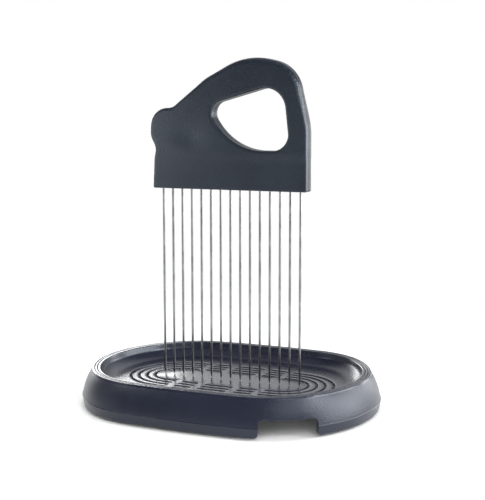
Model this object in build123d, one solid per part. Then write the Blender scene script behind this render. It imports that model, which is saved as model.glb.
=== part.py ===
from build123d import *
import math
import os

# Hasselback potato cutter: an oval tray and a comb of steel tines in a two-shell handle.
# Frame: origin on the table under the middle of the tray, +X along the tray, +Z up.
# The comb is drawn fully down, with its tines just clear of the tray floor.

# Tray outline at the rim, a symmetrical oval of three arcs to the quarter
# A bow is how far the end or the side stands out past the corner circles, and the corner
# stand is how far the centre of a corner circle lies from the long axis.
rim_half_length = 83.0
rim_half_width = 63.0
corner_stand = 15.83
end_bow = 6.3
side_bow = 1.17

# Tray section
rim_height = 22.0
rim_width = 4.8
rim_edge_round = 0.6
bead_groove_width = 0.5
bead_groove_depth = 0.4
bead_groove_pitch = 1.6
bead_groove_count = 2
skirt_wall = 2.0
skirt_flare = 5.6
skirt_belly = 0.7
band_height = 7.0
band_step = 0.3
band_tuck = 1.0
band_edge_round = 1.5
stand_gap = 0.9
bowl_depth = 8.0
bowl_wall_drop = 3.2
bowl_wall_lean = 0.9
bowl_sweep = 9.5
bowl_sag = 1.9
floor_thickness = 2.4
floor_lap = 3.0
rim_thickness = 2.6

# Oval grooves in the tray floor, each one pitch outside the last
groove_half_length = 48.0
groove_half_width = 17.0
groove_corner_stand = 2.7
groove_end_bow = 1.6
groove_side_bow = 2.3
groove_pitch = 4.9
groove_width = 1.5
groove_depth = 1.1
groove_count = 4
groove_bridge_width = 5.0
groove_bridge_inner = 11.0
groove_bridge_outer = 26.0

# Notch in the skirt at the front right corner
notch_width = 31.5
notch_height = 10.8
notch_top_round = 2.6
notch_foot_round = 2.4
notch_bearing = -56.3
notch_reach_in = 9.0
notch_reach_out = 12.0

# Rubber feet, each with a stem pressed into a boss under the floor
foot_diameter = 12.0
foot_height = 3.0
foot_edge_round = 0.6
stem_diameter = 5.0
stem_length = 5.0
stem_clearance = 0.1
boss_diameter = 9.0
corner_foot_inset_x = 26.0
corner_foot_inset_y = 29.0
side_foot_x = 18.0
side_foot_inset_y = 14.0

# Comb
tine_count = 15
tine_pitch = 6.2
tine_diameter = 1.4
tine_point_length = 2.6
tine_point_diameter = 0.5
tine_tip_gap = 0.3
tine_head_diameter = 2.8
tine_head_height = 1.0
tine_free_length = 111.8

# Handle outline, measured from the middle of its bottom edge
handle_end_margin = 4.8
handle_thickness = 9.6
handle_edge_round = 1.5
handle_corner_round = 1.0
knee_inset = 0.5
knee_height = 17.5
knee_radius = 20.0
waist_inset = 1.7
waist_height = 24.5
waist_radius = 8.0
ear_reach = 1.7
ear_rise = 5.8
ear_depth = 16.65
ear_shelf = 12.6
ear_low_radius = 9.0
ear_top_radius = 11.0
ear_fillet = 8.0
shoulder_inset = 33.2
shoulder_drop = 14.1
shoulder_radius = 30.0
crown_x = 12.0
crown_radius = 40.0
knuckle_inset = 7.2
knuckle_drop = 7.5
knuckle_radius = 20.0
elbow_height = 36.0

# Finger hole: four rounded corners, with a long sweep at the lower left
hole_side_wall = 10.2
hole_sill_height = 22.8
hole_sill_length = 34.8
hole_left_lean = 17.5
hole_left_rise = 25.2
hole_right_lean = 4.5
hole_right_rise = 38.2
hole_sweep_radius = 36.0
hole_sill_radius = 9.3
hole_top_radius = 12.0
hole_left_radius = 7.0
hole_edge_round = 1.6
grip_bar_depth = 16.5

# Handle shells
shell_wall = 2.0
edge_search_depth = 0.02
peg_diameter = 3.0
peg_length = 2.0
peg_clearance = 0.15
socket_boss_diameter = 6.0
ear_peg_inset = 8.2
ear_peg_drop = 11.8
crown_peg_shift = 8.0
knuckle_peg_shift = 8.0
side_peg_inset = 6.0
side_peg_rise = 7.0

# Tine block and the strip that keeps the tine heads down
block_end_margin = 2.1
block_height = 9.0
block_fit = 0.1
block_bore_clearance = 0.06
strip_thickness = 1.0
keeper_rib_height = 1.6

overrun = 1.0

corner_foot_x = rim_half_length - corner_foot_inset_x
corner_foot_y = rim_half_width - corner_foot_inset_y
side_foot_y = rim_half_width - side_foot_inset_y
floor_top = rim_height - bowl_depth
floor_under = floor_top - floor_thickness
tine_tip_height = floor_top + tine_tip_gap
handle_bottom = tine_tip_height + tine_free_length
half_thickness = handle_thickness / 2
cavity_half_depth = half_thickness - shell_wall
block_bottom = handle_bottom + shell_wall + block_fit
block_top = block_bottom + block_height
strip_top = block_top + block_fit + strip_thickness
half_row = (tine_count - 1) / 2 * tine_pitch
block_length = 2 * (half_row + block_end_margin)
handle_half_width = half_row + handle_end_margin
ear_start_height = waist_height + ear_rise
ear_top_height = ear_start_height + ear_depth
ear_inner_x = handle_half_width - ear_shelf
hole_right_x = handle_half_width - hole_side_wall
hole_sweep_x = hole_right_x - hole_sill_length
hole_left_x = hole_sweep_x - hole_left_lean
hole_left_height = hole_sill_height + hole_left_rise
hole_top_x = hole_right_x - hole_right_lean
hole_top_height = hole_sill_height + hole_right_rise
crown_height = hole_top_height + grip_bar_depth
shoulder_x = handle_half_width - shoulder_inset
shoulder_height = crown_height - shoulder_drop
knuckle_x = handle_half_width - knuckle_inset
knuckle_height = crown_height - knuckle_drop
side_peg_height = strip_top + keeper_rib_height - handle_bottom + side_peg_rise


def oval_arcs(half_length, half_width, stand, end_out, side_out):
    """Centre, radius, start angle and sweep of each arc of a three-arc oval, from +X round.

    The corner circle stands off the long axis by the stand and reaches one bow short of the
    oval's end and side. An end circle on the long axis touches it from outside, so its radius
    is bow / 2 + corner radius + (stand squared) / (2 bow). The side circle follows the same
    rule with the corner circle's distance from the short axis.
    """
    corner_r = half_width - side_out - stand
    corner_x = half_length - end_out - corner_r
    corner_y = stand
    end_r = end_out / 2 + corner_r + corner_y**2 / (2 * end_out)
    side_r = side_out / 2 + corner_r + corner_x**2 / (2 * side_out)
    end_x = half_length - end_r
    side_y = half_width - side_r
    end_angle = math.degrees(math.atan2(corner_y, corner_x - end_x))
    side_angle = math.degrees(math.atan2(corner_y - side_y, corner_x))
    quarter = side_angle - end_angle
    return [
        ((end_x, 0), end_r, 0, end_angle),
        ((corner_x, corner_y), corner_r, end_angle, quarter),
        ((0, side_y), side_r, side_angle, 180 - 2 * side_angle),
        ((-corner_x, corner_y), corner_r, 180 - side_angle, quarter),
        ((-end_x, 0), end_r, 180 - end_angle, 2 * end_angle),
        ((-corner_x, -corner_y), corner_r, 180 + end_angle, quarter),
        ((0, -side_y), side_r, 180 + side_angle, 180 - 2 * side_angle),
        ((corner_x, -corner_y), corner_r, 360 - side_angle, quarter),
        ((end_x, 0), end_r, 360 - end_angle, end_angle),
    ]


def oval_face(arcs, offset):
    """Flat oval with every arc moved outwards by the offset about its own centre."""
    edges = []
    for (x, y), radius, start, sweep_angle in arcs:
        edges.append(CenterArc((x, y), radius + offset, start, sweep_angle))
    return make_face(edges)


def carried_round(arcs, profile):
    """Carry a section round the oval: the section's x is the distance outside the oval."""
    ring = None
    for (x, y), radius, start, sweep_angle in arcs:
        section = Pos(radius, 0, 0) * profile
        sector = revolve(section, axis=Axis.Z, revolution_arc=sweep_angle)
        sector = Pos(x, y, 0) * Rot(0, 0, start) * sector
        ring = sector if ring is None else ring + sector
    return ring


rim_arcs = oval_arcs(rim_half_length, rim_half_width, corner_stand, end_bow, side_bow)


def skirt_section():
    """Section of the tray from its skirt to the edge of its floor, as (outwards, up)."""
    top = rim_height
    belly_height = (top + band_height) / 2
    floor_edge = -rim_width - bowl_wall_lean - bowl_sweep
    band_out = skirt_flare + band_step
    foot_out = band_out - band_tuck
    wall_top = top - rim_thickness
    under_rim = -rim_width / 2
    sweep_start = (-rim_width - bowl_wall_lean, top - bowl_wall_drop)
    sweep_mid = (
        (sweep_start[0] + floor_edge) / 2 - bowl_sag / 2,
        (sweep_start[1] + floor_top) / 2 - bowl_sag,
    )
    points = [Vector(-rim_edge_round, 0, top)]
    for number in range(bead_groove_count):
        near = -(number + 1) * bead_groove_pitch + bead_groove_width / 2
        far = near - bead_groove_width
        points.append(Vector(near, 0, top))
        points.append(Vector((near + far) / 2, 0, top - bead_groove_depth))
        points.append(Vector(far, 0, top))
    points.append(Vector(-rim_width, 0, top))
    points.append(Vector(sweep_start[0], 0, sweep_start[1]))
    rim_top = Polyline(*points)
    bowl = ThreePointArc(
        (sweep_start[0], 0, sweep_start[1]),
        (sweep_mid[0], 0, sweep_mid[1]),
        (floor_edge, 0, floor_top),
    )
    lap = floor_edge - floor_lap
    under = Polyline(
        (floor_edge, 0, floor_top),
        (lap, 0, floor_top),
        (lap, 0, floor_under),
        (floor_edge, 0, floor_under),
    )
    under_bowl = ThreePointArc(
        (floor_edge, 0, floor_under),
        (sweep_mid[0] + floor_thickness / 3, 0, sweep_mid[1] - floor_thickness),
        (under_rim - skirt_wall, 0, wall_top - floor_thickness / 2),
    )
    roof = Line(
        (under_rim - skirt_wall, 0, wall_top - floor_thickness / 2),
        (under_rim, 0, wall_top),
    )
    inner = ThreePointArc(
        (under_rim, 0, wall_top),
        (skirt_flare / 2 + skirt_belly - skirt_wall, 0, belly_height),
        (skirt_flare - skirt_wall, 0, band_height),
    )
    foot = Polyline(
        (skirt_flare - skirt_wall, 0, band_height),
        (foot_out - skirt_wall, 0, stand_gap),
        (foot_out - band_edge_round, 0, stand_gap),
    )
    turn = ThreePointArc(
        (foot_out - band_edge_round, 0, stand_gap),
        (foot_out - band_edge_round / 4, 0, stand_gap + band_edge_round / 3),
        (foot_out + band_tuck / 5, 0, stand_gap + band_edge_round),
    )
    band = Polyline(
        (foot_out + band_tuck / 5, 0, stand_gap + band_edge_round),
        (band_out, 0, band_height - band_step),
        (skirt_flare, 0, band_height),
    )
    flare = ThreePointArc(
        (skirt_flare, 0, band_height),
        (skirt_flare / 2 + skirt_belly, 0, belly_height),
        (0, 0, top - rim_edge_round),
    )
    edge = Line((0, 0, top - rim_edge_round), (-rim_edge_round, 0, top))
    lines = [rim_top, bowl, under, under_bowl, roof, inner, foot, turn, band, flare, edge]
    return make_face([part_edge for line in lines for part_edge in line.edges()])


def floor_plate():
    """Floor of the tray, which laps the inner edge of the skirt section."""
    reach = rim_width + bowl_wall_lean + bowl_sweep + floor_lap / 2
    return Pos(0, 0, floor_under) * extrude(oval_face(rim_arcs, -reach), floor_thickness)


def groove_rings():
    """Oval grooves of the floor, each with its long sides broken by four bridges."""
    arcs = oval_arcs(
        groove_half_length,
        groove_half_width,
        groove_corner_stand,
        groove_end_bow,
        groove_side_bow,
    )
    rings = None
    for number in range(groove_count):
        offset = number * groove_pitch
        outer = oval_face(arcs, offset + groove_width / 2)
        inner = oval_face(arcs, offset - groove_width / 2)
        ring = outer - inner
        rings = ring if rings is None else rings + ring
    for x in (-groove_bridge_outer, -groove_bridge_inner, groove_bridge_inner, groove_bridge_outer):
        rings = rings - Pos(x, 0, 0) * Rectangle(groove_bridge_width, rim_half_width * 2)
    tool = extrude(rings, groove_depth + overrun)
    return Pos(0, 0, floor_top - groove_depth) * tool


def notch_tool():
    """Cutter for the notch: rounded at its top corners, flared at its foot."""
    half = notch_width / 2
    top = notch_height
    below = -overrun
    outline = FilletPolyline(
        (-half - notch_foot_round * 2, below),
        (-half - notch_foot_round * 2, stand_gap),
        (-half, stand_gap),
        (-half, top),
        (half, top),
        (half, stand_gap),
        (half + notch_foot_round * 2, stand_gap),
        (half + notch_foot_round * 2, below),
        radius=[
            0,
            0,
            notch_foot_round,
            notch_top_round,
            notch_top_round,
            notch_foot_round,
            0,
            0,
        ],
        close=True,
    )
    face = make_face(outline.edges())
    # The corner arc of the front right of the outline carries the notch.
    (x, y), radius, _, _ = rim_arcs[7]
    middle = radius + skirt_flare
    plane = Plane(origin=(0, 0, 0), x_dir=(0, 1, 0), z_dir=(1, 0, 0))
    tool = plane * extrude(face, notch_reach_in + notch_reach_out)
    tool = Pos(middle - notch_reach_in, 0, 0) * tool
    return Pos(x, y, 0) * Rot(0, 0, notch_bearing) * tool


def foot_places():
    """Places of the four feet, kept clear of the notch."""
    return {
        "foot_front_left": (-corner_foot_x, -corner_foot_y),
        "foot_front_right": (side_foot_x, -side_foot_y),
        "foot_rear_right": (corner_foot_x, corner_foot_y),
        "foot_rear_left": (-side_foot_x, side_foot_y),
    }


def base_tray():
    """Oval tray in one moulding, hollow below, with a boss for each foot."""
    body = carried_round(rim_arcs, skirt_section()) + floor_plate()
    boss_height = floor_under - foot_height + overrun
    bore = stem_diameter / 2 + stem_clearance
    for x, y in foot_places().values():
        boss = Cylinder(boss_diameter / 2, boss_height, align=(Align.CENTER, Align.CENTER, Align.MIN))
        body = body + Pos(x, y, foot_height) * boss
    for x, y in foot_places().values():
        hole = Cylinder(bore, stem_length * 2, align=(Align.CENTER, Align.CENTER, Align.CENTER))
        body = body - Pos(x, y, foot_height + stem_clearance) * hole
    body = body - groove_rings()
    body = body - notch_tool()
    return body


def foot():
    """Rubber foot with a stem."""
    up = (Align.CENTER, Align.CENTER, Align.MIN)
    pad = Cylinder(foot_diameter / 2, foot_height, align=up)
    pad = fillet(pad.edges().group_by(Axis.Z)[0], foot_edge_round)
    stem = Pos(0, 0, foot_height) * Cylinder(stem_diameter / 2, stem_length - stem_clearance, align=up)
    return pad + stem


def tine_places():
    """Places of the tines along X, centred on the tray."""
    first = -(tine_count - 1) / 2 * tine_pitch
    return [first + number * tine_pitch for number in range(tine_count)]


def tine():
    """Steel pin with a blunt point below and a flat head above, standing on its own axis."""
    radius = tine_diameter / 2
    head_bottom = block_top - tine_head_height
    profile = Polyline(
        (0, 0, tine_tip_height),
        (tine_point_diameter / 2, 0, tine_tip_height),
        (radius, 0, tine_tip_height + tine_point_length),
        (radius, 0, head_bottom),
        (tine_head_diameter / 2, 0, head_bottom),
        (tine_head_diameter / 2, 0, block_top),
        (0, 0, block_top),
        (0, 0, tine_tip_height),
    )
    return revolve(make_face(profile.edges()), axis=Axis.Z)


def tine_block():
    """Bar inside the handle, bored and counterbored for the tines."""
    depth = 2 * (cavity_half_depth - block_fit)
    up = (Align.CENTER, Align.CENTER, Align.MIN)
    block = Pos(0, 0, block_bottom) * Box(block_length, depth, block_height, align=up)
    bore = Cylinder(tine_diameter / 2 + block_bore_clearance, block_height + 2 * overrun, align=up)
    seat = Cylinder(tine_head_diameter / 2 + block_bore_clearance, tine_head_height + overrun, align=up)
    for x in tine_places():
        block = block - Pos(x, 0, block_bottom - overrun) * bore
        block = block - Pos(x, 0, block_top - tine_head_height) * seat
    return block


def retaining_strip():
    """Steel strip that lies on the tine block over the tine heads."""
    depth = 2 * (cavity_half_depth - block_fit)
    up = (Align.CENTER, Align.CENTER, Align.MIN)
    return Pos(0, 0, block_top + block_fit) * Box(block_length, depth, strip_thickness, align=up)


def handle_outline():
    """Outer outline of the handle in its own plane, with every corner rounded."""
    knee_x = handle_half_width - knee_inset
    waist_x = handle_half_width - waist_inset
    ear_x = handle_half_width + ear_reach
    return FilletPolyline(
        (-handle_half_width, 0),
        (-knee_x, knee_height),
        (-waist_x, waist_height),
        (-ear_x, ear_start_height),
        (-ear_x, ear_top_height),
        (-ear_inner_x, ear_top_height),
        (-shoulder_x, shoulder_height),
        (crown_x, crown_height),
        (knuckle_x, knuckle_height),
        (handle_half_width, elbow_height),
        (handle_half_width, 0),
        radius=[
            handle_corner_round,
            knee_radius,
            waist_radius,
            ear_low_radius,
            ear_top_radius,
            ear_fillet,
            shoulder_radius,
            crown_radius,
            knuckle_radius,
            crown_radius,
            handle_corner_round,
        ],
        close=True,
    )


def finger_hole(growth):
    """Finger hole as a flat face, grown all round."""
    outline = FilletPolyline(
        (hole_sweep_x, hole_sill_height),
        (hole_right_x, hole_sill_height),
        (hole_top_x, hole_top_height),
        (hole_left_x, hole_left_height),
        radius=[hole_sweep_radius, hole_sill_radius, hole_top_radius, hole_left_radius],
        close=True,
    )
    face = make_face(outline.edges())
    return offset(face, amount=growth) if growth else face


def upright(face, amount):
    """Extrude a face drawn as (x, height) towards -Y from the middle plane of the handle."""
    solid = extrude(face, amount)
    return Pos(0, 0, handle_bottom) * Rot(90, 0, 0) * solid


def peg_places():
    """Places of the pegs that line the two shells up."""
    crown_peg_height = crown_height - grip_bar_depth / 2
    knuckle_peg_height = (hole_top_height + knuckle_height) / 2
    return [
        (ear_peg_inset - handle_half_width, ear_top_height - ear_peg_drop),
        (crown_x - crown_peg_shift, crown_peg_height),
        (knuckle_x - knuckle_peg_shift, knuckle_peg_height - peg_diameter / 2),
        (handle_half_width - side_peg_inset, side_peg_height),
    ]


def split_front_edges(solid):
    """Edges of the front face, parted into those of the outline and those of the finger hole."""
    hole_box = finger_hole(edge_search_depth).bounding_box()
    outer_edges = []
    hole_edges = []
    for edge in solid.edges():
        box = edge.bounding_box()
        if box.max.Y > -half_thickness + edge_search_depth:
            continue
        inside_x = box.min.X > hole_box.min.X and box.max.X < hole_box.max.X
        low = handle_bottom + hole_box.min.Y
        high = handle_bottom + hole_box.max.Y
        inside_z = box.min.Z > low and box.max.Z < high
        if inside_x and inside_z:
            hole_edges.append(edge)
        else:
            outer_edges.append(edge)
    return outer_edges, hole_edges


def shell_blank():
    """Front shell without pegs or sockets: rounded outside, hollow behind, ribbed and bored."""
    outline = make_face(handle_outline().edges())
    solid = upright(outline - finger_hole(0), half_thickness)
    outer_edges, _ = split_front_edges(solid)
    solid = fillet(outer_edges, handle_edge_round)
    _, hole_edges = split_front_edges(solid)
    solid = fillet(hole_edges, hole_edge_round)
    hollow = offset(outline, amount=-shell_wall) - finger_hole(shell_wall)
    solid = solid - upright(hollow, cavity_half_depth)
    return solid


def keeper_rib():
    """Rib above the retaining strip, across the shell."""
    up = (Align.CENTER, Align.MAX, Align.MIN)
    return Pos(0, 0, strip_top + block_fit) * Box(
        block_length, half_thickness - shell_wall / 2, keeper_rib_height, align=up
    )


def tine_holes():
    """Holes through the bottom wall of the handle, halved by the joint between the shells."""
    up = (Align.CENTER, Align.CENTER, Align.MIN)
    hole = Cylinder(tine_diameter / 2 + block_bore_clearance, shell_wall + 2 * overrun, align=up)
    holes = None
    for x in tine_places():
        one = Pos(x, 0, handle_bottom - overrun) * hole
        holes = one if holes is None else holes + one
    return holes


def front_shell():
    """Front half of the handle with its alignment pegs."""
    shell = shell_blank() + keeper_rib()
    for x, height in peg_places():
        root = upright(Pos(x, height) * Circle(socket_boss_diameter / 2), half_thickness - shell_wall / 2)
        shell = shell + root
    shell = shell - tine_holes()
    for x, height in peg_places():
        peg = upright(Pos(x, height) * Circle(peg_diameter / 2), -peg_length)
        shell = shell + peg
    return shell


def rear_shell():
    """Rear half of the handle, the mirror of the front one, with sockets for the pegs."""
    shell = shell_blank() + keeper_rib()
    for x, height in peg_places():
        root = upright(Pos(x, height) * Circle(socket_boss_diameter / 2), half_thickness - shell_wall / 2)
        shell = shell + root
    shell = shell - tine_holes()
    for x, height in peg_places():
        socket = upright(
            Pos(x, height) * Circle(peg_diameter / 2 + peg_clearance), peg_length + peg_clearance
        )
        shell = shell - socket
    return mirror(shell, about=Plane.XZ)


def save(shape, name):
    export_step(shape, "parts/" + name + ".step")


os.makedirs("parts", exist_ok=True)
save(base_tray(), "base_tray")
for name, (x, y) in foot_places().items():
    save(Pos(x, y, 0) * foot(), name)
save(front_shell(), "handle_front_shell")
save(rear_shell(), "handle_rear_shell")
save(tine_block(), "tine_block")
save(retaining_strip(), "tine_retaining_strip")
one_tine = tine()
for number, x in enumerate(tine_places(), start=1):
    save(Pos(x, 0, 0) * one_tine, f"tine_{number:02d}")
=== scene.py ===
"""Hasselback potato cutter: an oval tray and a comb of steel tines in a moulded handle.

Lengths in the shape functions are in millimetres; meshes are written in metres.
"""

import math

import bmesh
import bpy
import numpy as np
from mathutils import Matrix, Vector


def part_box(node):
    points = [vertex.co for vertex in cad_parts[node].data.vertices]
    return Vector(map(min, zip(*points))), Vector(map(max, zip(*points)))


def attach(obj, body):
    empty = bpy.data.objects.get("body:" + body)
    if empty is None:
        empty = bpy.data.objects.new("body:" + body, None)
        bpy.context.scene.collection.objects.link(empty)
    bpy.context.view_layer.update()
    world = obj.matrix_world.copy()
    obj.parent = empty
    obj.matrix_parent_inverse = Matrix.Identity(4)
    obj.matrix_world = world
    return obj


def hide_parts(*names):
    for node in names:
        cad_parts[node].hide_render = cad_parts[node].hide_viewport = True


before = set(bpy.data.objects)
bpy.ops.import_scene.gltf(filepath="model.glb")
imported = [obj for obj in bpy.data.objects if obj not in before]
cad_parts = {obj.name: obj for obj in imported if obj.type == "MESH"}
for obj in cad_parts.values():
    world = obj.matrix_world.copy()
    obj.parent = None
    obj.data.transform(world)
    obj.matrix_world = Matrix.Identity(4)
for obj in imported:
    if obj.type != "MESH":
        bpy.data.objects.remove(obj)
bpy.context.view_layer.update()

MM = 0.001
FULL_TURN = 2 * math.pi

# Grids and pieces


def strip_faces(rows, columns, closed_rows=False):
    """Quads of a grid whose columns close on themselves, and its rows too if asked."""
    last = rows if closed_rows else rows - 1
    row, column = np.meshgrid(np.arange(last), np.arange(columns), indexing="ij")
    row_on = (row + 1) % rows
    column_on = (column + 1) % columns
    corners = [
        row * columns + column,
        row_on * columns + column,
        row_on * columns + column_on,
        row * columns + column_on,
    ]
    return np.stack(corners, axis=-1).reshape(-1, 4)


def outward(points, faces):
    """Faces of a closed shell turned so that its signed volume is positive.

    The volume is the sum over the faces' triangles of corner . (corner x corner) / 6.
    """
    a, b, c, d = (points[faces[:, i]] for i in range(4))
    volume = np.einsum("ij,ij->i", a, np.cross(b, c)) + np.einsum("ij,ij->i", a, np.cross(c, d))
    return faces if volume.sum() > 0 else faces[:, ::-1]


def shell_of(points, closed_rows=False, **marks):
    """A closed shell from a grid of points (row, column, xyz), with marks per point."""
    rows, columns = points.shape[:2]
    flat = points.reshape(-1, 3)
    faces = outward(flat, strip_faces(rows, columns, closed_rows))
    flat_marks = {
        key: np.broadcast_to(value, (rows, columns)).reshape(-1) for key, value in marks.items()
    }
    return flat, faces, flat_marks


def add_piece(name, shells, body, nodes, finish, sharp=38.0):
    """Joins closed shells into one object that rides on a body and stands for CAD nodes."""
    points = np.concatenate([s[0] for s in shells]) * MM
    starts = np.cumsum([0] + [len(s[0]) for s in shells[:-1]])
    faces = np.concatenate([s[1] + start for s, start in zip(shells, starts)])
    mesh = bpy.data.meshes.new(name)
    mesh.from_pydata(points.tolist(), [], faces.tolist())
    for key in shells[0][2]:
        values = np.concatenate([s[2][key] for s in shells]).astype(np.float32)
        mesh.attributes.new(key, "FLOAT", "POINT").data.foreach_set("value", values)
    work = bmesh.new()
    work.from_mesh(mesh)
    bmesh.ops.remove_doubles(work, verts=work.verts, dist=0.002 * MM)
    bmesh.ops.dissolve_degenerate(work, edges=work.edges, dist=0.001 * MM)
    work.to_mesh(mesh)
    work.free()
    mesh.shade_smooth()
    mesh.set_sharp_from_angle(angle=math.radians(sharp))
    mesh.materials.append(finish)
    piece = bpy.data.objects.new(name, mesh)
    bpy.context.scene.collection.objects.link(piece)
    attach(piece, body)
    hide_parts(*nodes)
    return piece


def arc_through(start, middle, end, count):
    """Points along the circle that passes through three points, from the first to the last.

    The centre is where the two perpendicular bisectors meet.
    """
    (ax, ay), (bx, by), (cx, cy) = start, middle, end
    d = 2 * (ax * (by - cy) + bx * (cy - ay) + cx * (ay - by))
    a2, b2, c2 = ax * ax + ay * ay, bx * bx + by * by, cx * cx + cy * cy
    ux = (a2 * (by - cy) + b2 * (cy - ay) + c2 * (ay - by)) / d
    uy = (a2 * (cx - bx) + b2 * (ax - cx) + c2 * (bx - ax)) / d
    radius = math.hypot(ax - ux, ay - uy)
    angles = np.unwrap([math.atan2(y - uy, x - ux) for x, y in (start, middle, end)])
    sweep = np.linspace(angles[0], angles[2], count)
    return np.stack([ux + radius * np.cos(sweep), uy + radius * np.sin(sweep)], axis=-1)


def smooth(value, low, high):
    """Smooth step: 0 below low, 1 above high, 3 t squared - 2 t cubed between."""
    t = np.clip((value - low) / (high - low), 0, 1)
    return t * t * (3 - 2 * t)


def lathe(profile, centre, segments, **marks):
    """A profile (radius, height) turned about an upright axis through a centre (x, y)."""
    turn = np.arange(segments) * FULL_TURN / segments
    radius, height = profile[:, :1], profile[:, 1:]
    x = centre[0] + radius * np.cos(turn)
    y = centre[1] + radius * np.sin(turn)
    z = height + np.zeros(segments)
    spread = {key: np.reshape(value, (-1, 1)) for key, value in marks.items()}
    return shell_of(np.stack([x, y, z], axis=-1), **spread)


# Shader sockets


class Wire:
    """A shader socket that takes part in arithmetic: each operation adds a Math node."""

    def __init__(self, board, socket):
        self.board = board
        self.socket = socket

    def _with(self, operation, *values):
        """Math node of an operation and its values."""
        inputs = dict(enumerate(values))
        return self.board.node("ShaderNodeMath", {"operation": operation}, inputs)

    def __add__(self, other):
        return self._with("ADD", self, other)

    def __sub__(self, other):
        return self._with("SUBTRACT", self, other)

    def __rsub__(self, other):
        return self._with("SUBTRACT", other, self)

    def __mul__(self, other):
        return self._with("MULTIPLY", self, other)

    __radd__ = __add__
    __rmul__ = __mul__

    def power(self, exponent):
        """Power with a fixed exponent."""
        return self._with("POWER", self, exponent)

    def larger(self, other):
        """The larger of two values."""
        return self._with("MAXIMUM", self, other)

    def step(self, low, high):
        """Smooth step from 0 at low to 1 at high."""
        return self.board.node(
            "ShaderNodeMapRange",
            {"interpolation_type": "SMOOTHSTEP"},
            {"Value": self, "From Min": low, "From Max": high},
        )


class Board:
    """One node tree, and the one method that puts a node on it."""

    def __init__(self, tree):
        self.tree = tree
        tree.nodes.clear()

    def node(self, kind, settings=None, inputs=None, output=0):
        """Adds a node: its settings first, then the values or links of its sockets."""
        node = self.tree.nodes.new(kind)
        for key, value in (settings or {}).items():
            setattr(node, key, value)
        for key, value in (inputs or {}).items():
            if isinstance(value, Wire):
                self.tree.links.new(value.socket, node.inputs[key])
            else:
                node.inputs[key].default_value = value
        return Wire(self, node.outputs[output]) if node.outputs else node

    def place(self, scale=(1, 1, 1)):
        """Object coordinates, stretched by a scale."""
        raw = self.node("ShaderNodeTexCoord", output="Object")
        return self.node("ShaderNodeMapping", {}, {"Vector": raw, "Scale": scale})

    def mark(self, name):
        """A number kept on the points of a piece."""
        return self.node("ShaderNodeAttribute", {"attribute_name": name}, output="Fac")

    def noise(self, place, scale, detail, roughness):
        """Cloudy noise between 0 and 1."""
        inputs = {"Vector": place, "Scale": scale, "Detail": detail, "Roughness": roughness}
        return self.node("ShaderNodeTexNoise", {}, inputs)

    def blend(self, share, first, second):
        """Mix of two colours."""
        return self.node(
            "ShaderNodeMix", {"data_type": "RGBA"}, {0: share, 6: first, 7: second}, output=2
        )

    def bump(self, height, strength, distance, normal=None):
        """Relief of a finish, laid over an earlier one if there is one."""
        inputs = {"Height": height, "Strength": strength, "Distance": distance}
        if normal is not None:
            inputs["Normal"] = normal
        return self.node("ShaderNodeBump", {}, inputs)

    def axes(self, vector):
        """The three parts of a vector."""
        return [
            self.node("ShaderNodeSeparateXYZ", {}, {0: vector}, output=part) for part in range(3)
        ]


def new_finish(name):
    """A material and its empty board."""
    material = bpy.data.materials.new(name)
    material.use_nodes = True
    return material, Board(material.node_tree)


def finish_surface(board, **inputs):
    """The Principled surface and the output of a finish."""
    named = {key.replace("_", " "): value for key, value in inputs.items()}
    surface = board.node("ShaderNodeBsdfPrincipled", {}, named)
    board.node("ShaderNodeOutputMaterial", {}, {"Surface": surface})


def rgba(red, green, blue):
    """Opaque colour."""
    return (red, green, blue, 1.0)


def shade(base, gain, lift=0.0):
    """Opaque colour made from a base colour: base x gain + lift."""
    return rgba(*(value * gain + lift for value in base))


def moulded_plastic(name, base, roughness, marks=()):
    """Spark-textured moulded plastic: cloudy colour, fine grain, polished edges, painted shade in
    recesses.
    """
    material, board = new_finish(name)
    place = board.place()
    cloud = board.noise(place, scale=38.0, detail=3.0, roughness=0.55)
    grain = board.noise(place, scale=1050.0, detail=3.0, roughness=0.6)
    speck = board.noise(place, scale=620.0, detail=4.0, roughness=0.65)
    colour = board.blend(cloud.step(0.3, 0.7), shade(base, 0.86), shade(base, 1.16))
    rough = roughness + (cloud - 0.5) * 0.10 + (speck - 0.5) * 0.08
    if "sleek" in marks:
        sleek = board.mark("sleek")
        rough = rough - sleek * 0.05
        grain = grain * (1.0 - sleek * 0.8)
    if "edge" in marks:
        edge = board.mark("edge")
        recess = board.mark("recess")
        worn = edge * speck.step(0.42, 0.62)
        polished = shade(base, 1.5, lift=0.006)
        # Painted shade in the tray's grooves and crease: the recess mark darkens them towards half
        # the base colour and makes them rougher; on the handle the same mark darkens the joint
        # between the shells.
        recess_shade = shade(base, 0.5)
        colour = board.blend(worn * 0.55, colour, polished)
        colour = board.blend(recess * 0.85, colour, recess_shade)
        rough = rough - edge * 0.08 + recess * 0.34
    normal = board.bump(grain, strength=0.6, distance=0.26 * MM)
    normal = board.bump(speck, strength=0.08, distance=0.20 * MM, normal=normal)
    finish_surface(
        board, Base_Color=colour, Roughness=rough, Normal=normal,
        Specular_Tint=rgba(0.84, 0.91, 1.0),
    )
    return material


def drawn_steel():
    """Drawn stainless wire: fine marks along its length and slow changes of brightness."""
    material, board = new_finish("drawn_steel_wire")
    along = board.place((1, 1, 0.02))
    marks = board.noise(along, scale=5200.0, detail=3.0, roughness=0.6)
    cloud = board.noise(board.place(), scale=90.0, detail=2.0, roughness=0.5)
    dull, bright = rgba(0.27, 0.275, 0.28), rgba(0.40, 0.405, 0.41)
    colour = board.blend(cloud.step(0.3, 0.7), dull, bright)
    rough = 0.2 + marks * 0.16 + (cloud - 0.5) * 0.08
    normal = board.bump(marks, strength=0.12, distance=0.04 * MM)
    finish_surface(board, Base_Color=colour, Metallic=1.0, Roughness=rough, Normal=normal)
    return material


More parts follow.
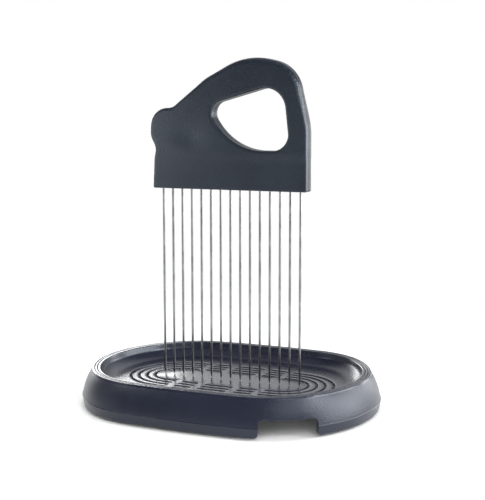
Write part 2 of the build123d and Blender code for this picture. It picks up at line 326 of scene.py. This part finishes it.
def rolled_steel():
    """Rolled steel strip: grain along the strip, a few faint scuffs."""
    material, board = new_finish("rolled_steel_strip")
    along = board.place((0.03, 1, 1))
    grain = board.noise(along, scale=2600.0, detail=3.0, roughness=0.6)
    patches = board.noise(board.place(), scale=160.0, detail=4.0, roughness=0.6)
    scuff = patches.step(0.58, 0.72)
    bright, dull = rgba(0.52, 0.53, 0.54), rgba(0.36, 0.365, 0.37)
    colour = board.blend(scuff * 0.4, bright, dull)
    rough = 0.26 + grain * 0.14 + scuff * 0.15
    normal = board.bump(grain, strength=0.12, distance=0.05 * MM)
    finish_surface(board, Base_Color=colour, Metallic=1.0, Roughness=rough, Normal=normal)
    return material


def foot_rubber():
    """Matt black rubber with a fine pebbled skin and pale dust."""
    material, board = new_finish("soft_foot_rubber")
    place = board.place()
    pebble = board.noise(place, scale=1500.0, detail=3.0, roughness=0.6)
    patches = board.noise(place, scale=130.0, detail=4.0, roughness=0.6)
    dust = patches.step(0.5, 0.75)
    black, pale = rgba(0.012, 0.012, 0.013), rgba(0.05, 0.05, 0.05)
    colour = board.blend(dust * 0.35, black, pale)
    rough = 0.74 + dust * 0.12
    normal = board.bump(pebble, strength=0.25, distance=0.12 * MM)
    finish_surface(board, Base_Color=colour, Roughness=rough, Normal=normal)
    return material


# Tray


class Oval:
    """Symmetrical oval of three arcs to the quarter, met by the direction of its normal.

    The corner circle stands off the long axis by the stand and stops one bow short of the end
    and of the side. The end and side circles touch it from outside, so each has the radius
    bow / 2 + corner radius + (distance of the corner's centre from its axis) squared / (2 bow).
    """

    def __init__(self, half_length, half_width, stand, end_bow, side_bow):
        corner_r = half_width - side_bow - stand
        corner_x = half_length - end_bow - corner_r
        end_r = end_bow / 2 + corner_r + stand**2 / (2 * end_bow)
        side_r = side_bow / 2 + corner_r + corner_x**2 / (2 * side_bow)
        end_x = half_length - end_r
        side_y = half_width - side_r
        end_turn = math.atan2(stand, corner_x - end_x)
        side_turn = math.atan2(stand - side_y, corner_x)
        self.turns = (end_turn, side_turn)
        self.arcs = ((end_x, 0, end_r), (corner_x, stand, corner_r), (0, side_y, side_r))

    def quarter(self, turn):
        """Centre x, centre y and radius of the arc whose normal has this direction."""
        folded = np.arctan2(np.abs(np.sin(turn)), np.abs(np.cos(turn)))
        which = np.searchsorted(self.turns, folded)
        return np.array(self.arcs)[which].T

    def place(self, turn, out):
        """Point at a normal direction, moved outwards: centre + (radius + out) x direction."""
        x, y, radius = self.quarter(turn)
        cos, sin = np.cos(turn), np.sin(turn)
        reach = radius + out
        return np.sign(cos) * x + reach * cos, np.sign(sin) * y + reach * sin


RIM = Oval(half_length=83.0, half_width=63.0, stand=15.83, end_bow=6.3, side_bow=1.17)
RINGS = Oval(half_length=48.0, half_width=17.0, stand=2.7, end_bow=1.6, side_bow=2.3)

# Heights, and the floor's edge as a distance outside the rim oval
RIM_HEIGHT = 22.0
FLOOR = 14.0
UNDER_FLOOR = 11.6
FLOOR_EDGE = -15.2
GROUND_GAP = 0.9

# Rings in the floor, the bridges that break them and the ease of a bridge's ends
RING_COUNT = 4
RING_PITCH = 4.9
RING_DEPTH = 1.1
BRIDGES = (11.0, 26.0)
BRIDGE_HALF = 2.5
BRIDGE_EASE = 0.35

# Section of one ring: distance across, share of the depth, wear of the lip
RING_SECTION = np.array(
    [
        (-0.95, 0, 0.3),
        (-0.78, 0.07, 0.9),
        (-0.66, 0.62, 0.2),
        (-0.52, 1, 0),
        (0.0, 1, 0),
        (0.52, 1, 0),
        (0.66, 0.62, 0.2),
        (0.78, 0.07, 0.9),
        (0.95, 0, 0.3),
    ]
)

# Sections of the tray as points (distance outside the rim oval, height); three points stand
# for the arc through them
BOWL_ARC = ((FLOOR_EDGE, FLOOR), (-11.4, 14.5), (-5.75, 18.6))
FLARE_ARC = ((0.0, 21.3), (3.55, 14.3), (5.55, 7.3))
WALL_ARC = ((3.6, 7.0), (1.5, 14.5), (-2.4, 19.4))
UNDER_ARC = ((-4.4, 18.1), (-10.6, 12.1), (FLOOR_EDGE, UNDER_FLOOR))
INNER_FOOT = ((2.9, GROUND_GAP), (3.1, 2.6), (3.35, 4.7))

# The same with the wear of the edge as a third value
BOWL_LIP = np.array(
    [
        (-5.5, 19.7, 0),
        (-5.2, 20.8, 0),
        (-5.02, 21.5, 0.4),
        (-4.9, 21.8, 1),
        (-4.72, 21.95, 1),
        (-4.48, 22.0, 0.6),
    ]
)
RIM_EDGE_ROUND = 0.7
RIM_EDGE_WEAR = (0.4, 0.9, 1, 1, 0.9, 0.5)

# Fine groove of the rim: distance across and sink below the rim, and where the two lie
RIM_GROOVE = np.array(
    [(-0.42, 0), (-0.27, 0.10), (-0.13, 0.34), (0, 0.42), (0.13, 0.34), (0.27, 0.10), (0.42, 0)]
)
RIM_GROOVES = (-3.2, -1.6)

# Crease over the band and the band below it: distance, height, wear, painted shade
SKIRT_FOOT = np.array(
    [
        (5.57, 7.14, 0, 0.3),
        (5.59, 7.05, 0, 0.4),
        (5.64, 6.96, 0, 0.3),
        (5.75, 6.84, 0.7, 0.1),
        (5.85, 6.7, 1, 0),
        (5.89, 6.5, 0.6, 0),
        (5.78, 6.0, 0, 0),
        (5.6, 4.9, 0, 0),
        (5.38, 3.7, 0, 0),
        (5.2, 2.7, 0, 0),
        (5.1, 2.1, 0, 0),
    ]
)
# Painted shade on the last row of the flare, over the crease
FLARE_LAST_SHADE = 0.1

# Rounding of the skirt's foot: outside, how much of it the notch takes away, and inside with
# the sag of its middle point
FOOT_ROUND = 1.5
NOTCH_FOOT_LOSS = 1.05
INNER_ROUND = 0.3
INNER_SAG = 0.09

NOTCH_TURN = math.radians(-56.3)
NOTCH_HALF = 15.75
NOTCH_TOP = 10.8
NOTCH_TOP_ROUND = 2.6
NOTCH_FOOT_ROUND = 2.4
NOTCH_RADIUS = 51.2

TRAY_COLUMNS = 628


def tray_columns():
    """Normal directions of the tray's columns, and the height of the skirt's foot at each.

    The directions are even in rim length plus 1.2 ring lengths. Over the notch they give way
    to pairs that follow its foot rounds, its straight sides and its top rounds.
    """
    fine = np.linspace(-math.pi, math.pi, 40001)
    density = RIM.quarter(fine)[2] + 3 + 1.2 * (RINGS.quarter(fine)[2] + 8)
    length = np.concatenate([[0], np.cumsum((density[1:] + density[:-1]) / 2)])
    even = np.interp(np.arange(TRAY_COLUMNS) * length[-1] / TRAY_COLUMNS, length, fine)
    foot_reach = NOTCH_HALF + NOTCH_FOOT_ROUND
    top_reach = NOTCH_HALF - NOTCH_TOP_ROUND
    side = np.abs(even - NOTCH_TURN) * NOTCH_RADIUS
    plain = even[side > foot_reach + 0.3]
    inside = even[side < top_reach - 0.3]
    foot_bend = np.linspace(0, math.pi / 2, 9)
    top_bend = np.linspace(0, math.pi / 2, 10)
    reach = np.concatenate(
        [
            foot_reach - NOTCH_FOOT_ROUND * np.sin(foot_bend),
            top_reach + NOTCH_TOP_ROUND * np.cos(top_bend),
        ]
    )
    height = np.concatenate(
        [
            GROUND_GAP + NOTCH_FOOT_ROUND * (1 - np.cos(foot_bend)),
            NOTCH_TOP - NOTCH_TOP_ROUND * (1 - np.sin(top_bend)),
        ]
    )
    turn = np.concatenate(
        [
            plain[plain < NOTCH_TURN],
            NOTCH_TURN - reach / NOTCH_RADIUS,
            inside,
            (NOTCH_TURN + reach / NOTCH_RADIUS)[::-1],
            plain[plain > NOTCH_TURN],
        ]
    )
    foot = np.concatenate(
        [
            np.full((plain < NOTCH_TURN).sum(), GROUND_GAP),
            height,
            np.full(len(inside), NOTCH_TOP),
            height[::-1],
            np.full((plain > NOTCH_TURN).sum(), GROUND_GAP),
        ]
    )
    return turn, foot


def tray_shell():
    """The tray as one closed skin: its section, as rows, carried round the oval, as columns.

    A row is a distance outside the rim oval and a height. The floor's rows go over from the
    rim oval to the oval of the rings, which share their normals. Over the notch the skirt's
    heights are held above the notch, along the same curve of the skirt.
    """
    turn, foot = tray_columns()
    columns = len(turn)
    blocks = []

    def put(x, y, z, edge=0.0, recess=0.0):
        """Adds rows of points with their wear, their painted shade and how sleek they are."""
        rows = z.shape[0]
        grid = np.stack([np.broadcast_to(v, (rows, columns)) for v in (x, y, z)], axis=-1)
        edge = np.broadcast_to(np.reshape(edge, (-1, 1)), (rows, columns))
        recess = np.broadcast_to(recess, (rows, columns))
        blocks.append((grid, edge, recess, np.full((rows, columns), sleek)))

    def put_profile(out, height, edge=0.0, recess=0.0):
        """Adds rows that each keep one distance outside the rim oval and one height."""
        out, height = np.reshape(out, (-1, 1)), np.reshape(height, (-1, 1))
        x, y = RIM.place(turn, out)
        recess = np.reshape(recess, (-1, 1))
        put(x, y, height + np.zeros(columns), edge, recess)

    def put_floor(share, ring_out, depth, height, edge=0.0):
        """Adds rows between the ring oval and the floor's edge, sunk except at the bridges."""
        share, ring_out = np.reshape(share, (-1, 1)), np.reshape(ring_out, (-1, 1))
        ring_x, ring_y = RINGS.place(turn, ring_out)
        rim_x, rim_y = RIM.place(turn, np.full_like(ring_out, FLOOR_EDGE))
        x = ring_x + (rim_x - ring_x) * share
        y = ring_y + (rim_y - ring_y) * share
        gap = np.ones_like(x)
        for middle in BRIDGES:
            aside = np.abs(np.abs(x) - middle)
            gap = gap * smooth(aside, BRIDGE_HALF - BRIDGE_EASE, BRIDGE_HALF + BRIDGE_EASE)
        sunk = np.reshape(depth, (-1, 1)) * gap
        # The sunk share of each ring is also its painted shade in the groove
        put(x, y, height - sunk, edge, sunk / RING_DEPTH)

    # Floor, from its middle outwards through the four rings; what is above the rim's outer
    # edge comes sleeker out of the mould than the skirt
    sleek = 1.0
    ring_x, ring_y = RINGS.place(turn, np.array([[-2.0]]))
    scale = np.array([[0.0], [0.3], [0.7]])
    put(ring_x * scale, ring_y * scale, FLOOR + np.zeros((3, columns)))
    across, depth_share, lip = RING_SECTION.T
    depth = np.tile(RING_DEPTH * depth_share, RING_COUNT)
    ring = np.arange(RING_COUNT)[:, None] * RING_PITCH
    put_floor(0.0, (ring + across).ravel(), depth, FLOOR, np.tile(lip, RING_COUNT))
    share = np.array([0.2, 0.5, 0.8])
    last_lip = (RING_COUNT - 1) * RING_PITCH + across[-1]
    put_floor(share, np.full(3, last_lip), np.zeros(3), FLOOR)

    # Bowl and rim with its two fine grooves
    put_profile(*arc_through(*BOWL_ARC, 15).T)
    put_profile(*BOWL_LIP.T)
    groove, sink = RIM_GROOVE.T
    groove_out = np.concatenate([middle + groove for middle in RIM_GROOVES])
    # The rim grooves get painted shade by how deep they sink
    put_profile(groove_out, RIM_HEIGHT - np.tile(sink, 2), recess=np.tile(sink / sink.max(), 2))
    bend = np.linspace(math.pi / 2, 0, 6)
    edge_out = RIM_EDGE_ROUND * (np.cos(bend) - 1)
    put_profile(edge_out, RIM_HEIGHT - RIM_EDGE_ROUND * (1 - np.sin(bend)), RIM_EDGE_WEAR)

    # Outer skirt: flare, crease and band
    sleek = 0.0
    flare = np.pad(arc_through(*FLARE_ARC, 16)[1:], ((0, 0), (0, 2)))
    flare[-1, 3] = FLARE_LAST_SHADE
    outer = np.concatenate([flare, SKIRT_FOOT])
    outer_out, outer_height, outer_edge, outer_recess = outer.T
    turn_in = FOOT_ROUND - NOTCH_FOOT_LOSS * smooth(foot, GROUND_GAP, NOTCH_FOOT_ROUND)
    held = np.maximum(outer_height[:, None], foot + turn_in)
    out = np.interp(-held, -outer_height, outer_out)
    x, y = RIM.place(turn, out)
    free = held == outer_height[:, None]
    # Painted shade in the crease, except where the skirt is held above the notch
    put(x, y, held, outer_edge, outer_recess[:, None] * free)

    # Foot of the skirt, rounded outside, and its inner wall
    wall_out = out[-1]
    bend = np.linspace(0, math.pi / 2, 7)[1:, None]
    x, y = RIM.place(turn, wall_out - turn_in * (1 - np.cos(bend)))
    put(x, y, foot + turn_in * (1 - np.sin(bend)), edge=[0.5, 0.8, 1, 1, 0.8, 0.5])
    inner_out, inner_height = np.concatenate([INNER_FOOT, arc_through(*WALL_ARC, 9)]).T
    start = foot + INNER_ROUND
    start_out = np.interp(start, inner_height, inner_out)
    round_out = np.stack([start_out + INNER_ROUND, start_out + INNER_SAG, start_out])
    x, y = RIM.place(turn, round_out)
    put(x, y, np.stack([foot, foot + INNER_SAG, start]), edge=[0.6, 1, 0.6])
    held = np.maximum(inner_height[1:, None], start)
    x, y = RIM.place(turn, np.interp(held, inner_height, inner_out))
    put(x, y, held)

    # Under the rim, the bowl and the floor
    put_profile(*arc_through(*UNDER_ARC, 9).T)
    rim_x, rim_y = RIM.place(turn, np.array([[-19.0]]))
    scale = np.array([[1.0], [0.6], [0.25], [0.0]])
    put(rim_x * scale, rim_y * scale, UNDER_FLOOR + np.zeros((4, columns)))

    grid, edge, recess, sleek = (np.concatenate([b[i] for b in blocks]) for i in range(4))
    return shell_of(grid, edge=edge, recess=recess, sleek=sleek)


def middle_of(node):
    """Middle of a CAD node in x and y, its lowest and its highest point, in millimetres."""
    low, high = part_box(node)
    return (
        ((low.x + high.x) / 2 / MM, (low.y + high.y) / 2 / MM),
        low.z / MM,
        high.z / MM,
    )


FEET = ("foot_front_left", "foot_front_right", "foot_rear_left", "foot_rear_right")

# Section of a boss: distance from its axis, height, wear
BOSS_SECTION = np.array(
    [
        (2.6, 3.15, 0.4),
        (2.75, 3.0, 0.4),
        (4.3, 3.0, 0.4),
        (4.5, 3.2, 0.4),
        (4.5, 11.0, 0),
        (4.7, 11.75, 0),
        (2.6, 11.75, 0),
        (2.6, 3.15, 0.4),
    ]
)


def boss_shell(node):
    """Tube under the floor that takes the stem of one foot: a rectangle turned about its axis."""
    centre = middle_of(node)[0]
    none = np.zeros(len(BOSS_SECTION))
    return lathe(
        BOSS_SECTION[:, :2], centre, 40, edge=BOSS_SECTION[:, 2], recess=none, sleek=none
    )


# Handle

HANDLE_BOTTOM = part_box("handle_front_shell")[0].z / MM
HALF_DEPTH = 4.8
PLATE_DEPTH = 4.35
JOINT_BEVEL = 0.14
CAVITY_DEPTH = 2.8
SHELL_WALL = 2.0
HOLE_ROUND = 1.6

# Corners of the outline (x, height, corner radius, rounding of the outer edge), from the
# bottom right and up the right side, so that the inside is always on the left.
OUTLINE = np.array(
    [
        (48.2, 0.0, 1.0, 0.8),
        (48.2, 36.0, 40.0, 1.4),
        (41.0, 70.0, 20.0, 2.9),
        (12.0, 77.5, 40.0, 3.3),
        (-15.0, 63.4, 30.0, 3.0),
        (-35.6, 46.95, 8.0, 1.9),
        (-49.9, 46.95, 11.0, 1.8),
        (-49.9, 30.3, 9.0, 1.6),
        (-46.5, 24.5, 8.0, 1.4),
        (-47.7, 17.5, 20.0, 1.2),
        (-48.2, 0.0, 1.0, 0.8),
    ]
)
# Corners of the finger hole in the same way, with its own inside on the left.
HOLE = np.array(
    [
        (3.2, 22.8, 36.0, 0.0),
        (38.0, 22.8, 9.3, 0.0),
        (33.5, 61.0, 12.0, 0.0),
        (-14.3, 48.0, 7.0, 0.0),
    ]
)
HOLE_MIDDLE = np.array([16.0, 42.0])

# Foot of the swell at the right and its rise to the waist at the left, half its width, and
# the thumb dish: middle, reach and depth
SWELL_FOOT = 18.5
SWELL_RISE = 6.0
SWELL_HALF = 3.5
DISH_MIDDLE = (-23.5, 29.5)
DISH_REACH = (9.0, 6.5)
DISH_DEPTH = 0.6


def rounded_ring(table, inset, spacing=0.6):
    """Rounded outline moved inwards, and the edge rounding at each of its points.

    Each side moves along its left normal. The corner then lies at corner + inset x (n0 + n1) /
    (1 + n0 . n1), and its arc keeps its centre: a convex radius shrinks, a concave one grows.
    The number of points on each side and arc comes from the outline itself, so the rings of
    different insets belong together point by point.
    """
    corners, radii, rounds = table[:, :2], table[:, 2], table[:, 3]
    ahead = np.roll(corners, -1, axis=0) - corners
    length = np.hypot(ahead[:, 0], ahead[:, 1])
    ahead = ahead / length[:, None]
    back = np.roll(ahead, 1, axis=0)
    left_back = np.stack([-back[:, 1], back[:, 0]], axis=-1)
    left = np.stack([-ahead[:, 1], ahead[:, 0]], axis=-1)
    cross = back[:, 0] * ahead[:, 1] - back[:, 1] * ahead[:, 0]
    bend = np.arctan2(cross, (back * ahead).sum(axis=1))
    hand = np.sign(bend)
    moved = corners + inset * (left_back + left) / (1 + (left_back * left).sum(axis=1))[:, None]
    shrunk = np.maximum(radii - inset * hand, 0.05)
    reach = shrunk * np.tan(np.abs(bend) / 2)
    full_reach = radii * np.tan(np.abs(bend) / 2)
    centre = moved - back * reach[:, None] + left_back * (shrunk * hand)[:, None]
    points = []
    edge_round = []
    for i in range(len(corners)):
        count = max(6, math.ceil(radii[i] * abs(bend[i]) / spacing))
        sweep = np.linspace(0, bend[i], count)
        first = -left_back[i] * hand[i]
        aside = np.array([-first[1], first[0]])
        spoke = np.outer(np.cos(sweep), first) + np.outer(np.sin(sweep), aside)
        points.append(centre[i] + shrunk[i] * spoke)
        edge_round.append(np.full(count, rounds[i]))
        j = (i + 1) % len(corners)
        start = moved[i] + ahead[i] * reach[i]
        end = moved[j] - ahead[i] * reach[j]
        straight = length[i] - full_reach[i] - full_reach[j]
        count = max(2, math.ceil(straight / spacing))
        share = np.linspace(0, 1, count + 1)[1:-1, None]
        points.append(start + (end - start) * share)
        edge_round.append(rounds[i] + (rounds[j] - rounds[i]) * smooth(share[:, 0], 0, 1))
    return np.concatenate(points), np.concatenate(edge_round)


def hole_ring(angles, grow):
    """Finger hole grown by an amount, where rays from its middle meet it.

    A fine ring of the hole is read by the direction of its points from the middle.
    """
    ring = rounded_ring(HOLE, -grow, spacing=0.12)[0]
    away = ring - HOLE_MIDDLE
    bearing = np.arctan2(away[:, 1], away[:, 0])
    return np.stack(
        [np.interp(angles, bearing, ring[:, i], period=FULL_TURN) for i in range(2)], axis=-1
    )


def face_depth(x, height):
    """Distance of the front face from the middle plane of the handle.

    The plate is thinner than the grip. The face swells over 7 mm along a line that falls from
    the waist on the left to below the hole, and a soft thumb dish lies beside the ear.
    """
    line = SWELL_FOOT + SWELL_RISE * smooth(-x, 18.0, 46.0)
    swell = smooth(height, line - SWELL_HALF, line + SWELL_HALF)
    across = (x - DISH_MIDDLE[0]) / DISH_REACH[0]
    up = (height - DISH_MIDDLE[1]) / DISH_REACH[1]
    dish = np.exp(-(across**2) - up**2)
    return PLATE_DEPTH + (HALF_DEPTH - PLATE_DEPTH) * swell - DISH_DEPTH * dish * swell


def handle_shell(side):
    """One half of the handle as a closed ring of rows: side is -1 for the front, 1 for the rear.

    From the joint the rows run through the finger hole, over its rounding, across the face,
    over the outer rounding, back to the joint, and then round the hollow inside.
    """
    outer, edge_round = rounded_ring(OUTLINE, 0)
    angles = np.arctan2(*(outer - HOLE_MIDDLE).T[::-1])
    columns = len(outer)
    rows = []

    def put(ring, depth, edge=0.0, recess=0.0):
        """Adds a ring of points at a depth from the joint, with its wear and its darkening near the
        joint.
        """
        rows.append((ring, np.broadcast_to(depth, columns), edge, recess))

    put(hole_ring(angles, JOINT_BEVEL), 0.0, recess=1.0)
    wall = hole_ring(angles, 0)
    hole_depth = face_depth(*hole_ring(angles, HOLE_ROUND).T)
    put(wall, JOINT_BEVEL, recess=0.5)
    for bend in np.linspace(0, math.pi / 2, 9):
        ring = hole_ring(angles, HOLE_ROUND * (1 - math.cos(bend)))
        put(ring, hole_depth - HOLE_ROUND * (1 - math.sin(bend)), edge=0.1 * math.sin(2 * bend))
    hole_edge = hole_ring(angles, HOLE_ROUND)
    bends = np.linspace(math.pi / 2, 0, 8)
    rings = []
    for bend in bends:
        inset = np.round(edge_round * (1 - math.cos(bend)), 2)
        values, picked = np.unique(inset, return_inverse=True)
        flat = np.stack([rounded_ring(OUTLINE, value)[0] for value in values])
        rings.append(flat[picked, np.arange(columns)])
    face_edge = rings[0]
    for share in np.linspace(0, 1, 24)[1:-1]:
        ring = hole_edge + (face_edge - hole_edge) * share
        put(ring, face_depth(*ring.T))
    edge_depth = face_depth(*face_edge.T)
    for bend, ring in zip(bends, rings):
        put(ring, edge_depth - edge_round * (1 - math.sin(bend)), edge=math.sin(2 * bend))
    put(outer, JOINT_BEVEL, recess=0.5)
    put(rounded_ring(OUTLINE, JOINT_BEVEL)[0], 0.0, recess=1.0)
    hollow = rounded_ring(OUTLINE, SHELL_WALL)[0]
    boss = hole_ring(angles, SHELL_WALL)
    put(hollow, 0.0)
    for share in (0.0, 0.33, 0.67, 1.0):
        put(hollow + (boss - hollow) * share, CAVITY_DEPTH)
    put(boss, 0.0)

    ring = np.stack([r[0] for r in rows])
    depth = np.stack([r[1] for r in rows])
    grid = np.stack([ring[..., 0], side * depth, HANDLE_BOTTOM + ring[..., 1]], axis=-1)
    edge = np.array([[r[2]] for r in rows])
    recess = np.array([[r[3]] for r in rows])
    return shell_of(grid, closed_rows=True, edge=edge, recess=recess)


# Tines and feet

TINE_RADIUS = 0.7
TINE_HEAD_RADIUS = 1.4
TINE_HEAD_HEIGHT = 1.0
PAD_RADIUS = 6.0
PAD_HEIGHT = 3.0
PAD_ROUND = 0.6
STEM_RADIUS = 2.5

# Ground point of a tine: distance from its axis, height above its tip
TINE_POINT = ((0, 0), (0.17, 0.01), (0.25, 0.08), (0.47, 1.3), (0.66, 2.45), (TINE_RADIUS, 2.8))


def tine_shell(node):
    """Round tine with a blunt ground point and a flat head, turned about its axis."""
    centre, tip, top = middle_of(node)
    head = top - TINE_HEAD_HEIGHT
    point = np.add(TINE_POINT, (0, tip))
    shank = [(TINE_RADIUS, tip + 40), (TINE_RADIUS, tip + 80), (TINE_RADIUS, head)]
    flat_head = [
        (TINE_HEAD_RADIUS - 0.1, head),
        (TINE_HEAD_RADIUS, head + 0.1),
        (TINE_HEAD_RADIUS, top - 0.15),
        (TINE_HEAD_RADIUS - 0.15, top),
        (0, top),
    ]
    return lathe(np.concatenate([point, shank, flat_head]), centre, 24)


def foot_shell(node):
    """Rubber foot: a pad with a rounded lower edge and a stem, turned about its axis."""
    centre, low, top = middle_of(node)
    shoulder = low + PAD_HEIGHT
    bend = np.linspace(0, math.pi / 2, 6)
    hollow = [(0, low + 0.25), (3.6, low + 0.25), (3.9, low)]
    lower_edge = np.stack(
        [
            PAD_RADIUS - PAD_ROUND * (1 - np.sin(bend)),
            low + PAD_ROUND * (1 - np.cos(bend)),
        ],
        axis=-1,
    )
    upper_edge = [(PAD_RADIUS, shoulder - 0.3), (PAD_RADIUS - 0.3, shoulder)]
    stem = [(STEM_RADIUS, shoulder), (STEM_RADIUS, top - 0.5), (STEM_RADIUS - 0.5, top), (0, top)]
    return lathe(np.concatenate([hollow, lower_edge, upper_edge, stem]), centre, 48)


# The object

TRAY_BASE = (0.0085, 0.0104, 0.0200)
HANDLE_BASE = (0.0092, 0.0126, 0.0190)
BLOCK_BASE = (0.42, 0.41, 0.37)
TINE_COUNT = 15

tray_plastic = moulded_plastic("slate_tray_plastic", TRAY_BASE, 0.32, ("edge", "recess", "sleek"))
handle_plastic = moulded_plastic("slate_handle_plastic", HANDLE_BASE, 0.36, ("edge", "recess"))
block_plastic = moulded_plastic("pale_block_nylon", BLOCK_BASE, 0.5)
wire = drawn_steel()
strip = rolled_steel()
rubber = foot_rubber()

add_piece(
    "tray", [tray_shell()] + [boss_shell(foot) for foot in FEET],
    "base", ["base_tray"], tray_plastic,
)
add_piece(
    "front_grip", [handle_shell(-1)], "comb", ["handle_front_shell"],
    handle_plastic,
)
add_piece(
    "rear_grip", [handle_shell(1)], "comb", ["handle_rear_shell"],
    handle_plastic,
)
for number in range(1, TINE_COUNT + 1):
    node = f"tine_{number:02d}"
    add_piece("wire_" + node, [tine_shell(node)], "comb", [node], wire)
for node in FEET:
    add_piece("pad_" + node, [foot_shell(node)], "base", [node], rubber)

for node, finish in {"tine_block": block_plastic, "tine_retaining_strip": strip}.items():
    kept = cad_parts[node].data.materials
    kept.clear()
    kept.append(finish)

# Floor, light and camera

# Level directions as parts of x and y: towards the camera, and to its left
TO_CAMERA = (0.404, -0.915)
TO_LEFT = (-0.915, -0.404)

FLOOR_REACH = 8.0
FLOOR_SUNK = 0.2 * MM
FLOOR_WHITE = (0.16, 0.42)

CAMERA_PLACE = (0.2631, -0.5777, 0.172)
CAMERA_FORWARD = (-0.40113, 0.90723, -0.12662)
CAMERA_LENS = 79.2
CAMERA_SENSOR = 36.0

# Soft boxes: name, place, aim, width and height in metres, power in watts, mirrored or not
LAMPS = (
    ("right_softbox", (0.90, 0.34, 0.26), (0, 0, 0.06), (0.92, 0.48), 9.8, True),
    ("front_right_softbox", (0.62, -0.48, 0.52), (0, 0, 0.02), (0.5, 0.4), 1.5, True),
    ("right_front_card", (0.86, -0.02, 0.58), (0, 0, 0.02), (0.20, 0.22), 3.4, True),
    ("near_left_card", (-0.16, -0.13, 0.155), (-0.045, 0, 0.150), (0.05, 0.08), 0.075, True),
    ("back_right_strip", (0.45, 0.92, 0.22), (0, 0, 0.12), (0.25, 0.4), 2, True),
    ("back_left_strip", (-0.77, 0.70, 0.21), (0, 0, 0.02), (0.68, 0.27), 3.5, True),
    ("top_softbox", (-0.1, 0.1, 1.2), (0, 0, 0), (1.1, 1.1), 9, False),
    ("front_fill", (0.35, -0.80, 0.45), (0, -0.05, 0), (1.0, 0.7), 9, False),
)


def part_along(direction, x, y):
    """Part of a place or direction that lies along a level direction."""
    return x * direction[0] + y * direction[1]


def add_floor():
    """Pale floor: it shades plainly near the object and turns to plain white further out."""
    mesh = bpy.data.meshes.new("studio_floor")
    signs = ((-1, -1), (1, -1), (1, 1), (-1, 1))
    corners = [(x * FLOOR_REACH, y * FLOOR_REACH, -FLOOR_SUNK) for x, y in signs]
    mesh.from_pydata(corners, [], [(0, 1, 2, 3)])
    material, board = new_finish("pale_studio_floor")
    x, y = board.axes(board.place())[:2]
    away = (x * x + y * y).power(0.5)
    far = away.step(*FLOOR_WHITE)
    rays = [
        board.node("ShaderNodeLightPath", output=kind)
        for kind in ("Is Camera Ray", "Is Glossy Ray", "Is Transmission Ray")
    ]
    seen = rays[0].larger(rays[1]).larger(rays[2])
    ahead = part_along(TO_CAMERA, x, y).step(0.25, 1.1)
    white_level = 1.0 - ahead * (1.0 - rays[0]) * 0.75
    pale = board.node("ShaderNodeBsdfDiffuse", {}, {"Color": rgba(0.80, 0.80, 0.80)})
    lifted = board.blend(seen, rgba(0, 0, 0), rgba(0.03, 0.03, 0.03))
    lift = board.node("ShaderNodeEmission", {}, {"Color": lifted, "Strength": 1.0})
    near = board.node("ShaderNodeAddShader", {}, {0: pale, 1: lift})
    shown = board.blend(white_level, rgba(0, 0, 0), rgba(1, 1, 1))
    white = board.node("ShaderNodeEmission", {}, {"Color": shown, "Strength": 1.0})
    both = board.node("ShaderNodeMixShader", {}, {0: far * seen, 1: near, 2: white})
    below = board.node("ShaderNodeNewGeometry", output="Backfacing")
    clear = board.node("ShaderNodeBsdfTransparent", {}, {"Color": rgba(1, 1, 1)})
    whole = board.node("ShaderNodeMixShader", {}, {0: below, 1: both, 2: clear})
    board.node("ShaderNodeOutputMaterial", {}, {"Surface": whole})
    mesh.materials.append(material)
    floor = bpy.data.objects.new("studio_floor", mesh)
    bpy.context.scene.collection.objects.link(floor)


def add_lamp(name, place, aim, size, power, mirrored):
    """Soft box: an area lamp at a place, turned to its aim, mirrored by the object or not."""
    lamp = bpy.data.lights.new(name, "AREA")
    lamp.shape = "RECTANGLE"
    lamp.size, lamp.size_y = size
    lamp.energy = power
    box = bpy.data.objects.new(name, lamp)
    box.location = place
    box.rotation_euler = (Vector(aim) - Vector(place)).to_track_quat("-Z", "Y").to_euler()
    box.visible_camera = False
    box.visible_glossy = mirrored
    bpy.context.scene.collection.objects.link(box)


def add_world():
    """White to the camera. To the object, white behind, dimmer low at the right, dark in front.

    Straight above and to the left it has a soft grey of its own.
    """
    world = bpy.data.worlds.new("studio_room")
    world.use_nodes = True
    bpy.context.scene.world = world
    board = Board(world.node_tree)
    x, y, z = board.axes(board.node("ShaderNodeTexCoord", output="Generated"))
    front = part_along(TO_CAMERA, x, y).step(-0.92, -0.40)
    aside = part_along(TO_LEFT, x, y)
    low_right = (1.0 - aside.step(-0.30, 0.16)) * (1.0 - z.step(0.28, 0.45))
    room = (1.4 - front * 1.26) * (1.0 - low_right * 0.65)
    room = room.larger(z.step(0.75, 0.97) * 0.45)
    room = room.larger(aside.step(0.72, 1.0) * 0.55)
    seen = board.node("ShaderNodeLightPath", output="Is Camera Ray")
    strength = seen + (1.0 - seen) * room
    light = board.node("ShaderNodeBackground", {}, {"Color": rgba(1, 1, 1), "Strength": strength})
    board.node("ShaderNodeOutputWorld", {}, {"Surface": light})


def add_camera():
    """Camera at the photograph's place: its rows are right, up and backwards."""
    camera = bpy.data.cameras.new("studio_camera")
    camera.lens = CAMERA_LENS
    camera.sensor_width = CAMERA_SENSOR
    camera.clip_start = 0.01
    holder = bpy.data.objects.new("studio_camera", camera)
    forward = Vector(CAMERA_FORWARD).normalized()
    right = forward.cross(Vector((0, 0, 1))).normalized()
    up = right.cross(forward)
    turned = Matrix((right, up, -forward)).transposed().to_4x4()
    holder.matrix_world = Matrix.Translation(CAMERA_PLACE) @ turned
    bpy.context.scene.collection.objects.link(holder)
    bpy.context.scene.camera = holder


add_floor()
for lamp in LAMPS:
    add_lamp(*lamp)
add_world()
add_camera()
bpy.context.scene.view_settings.view_transform = "Standard"
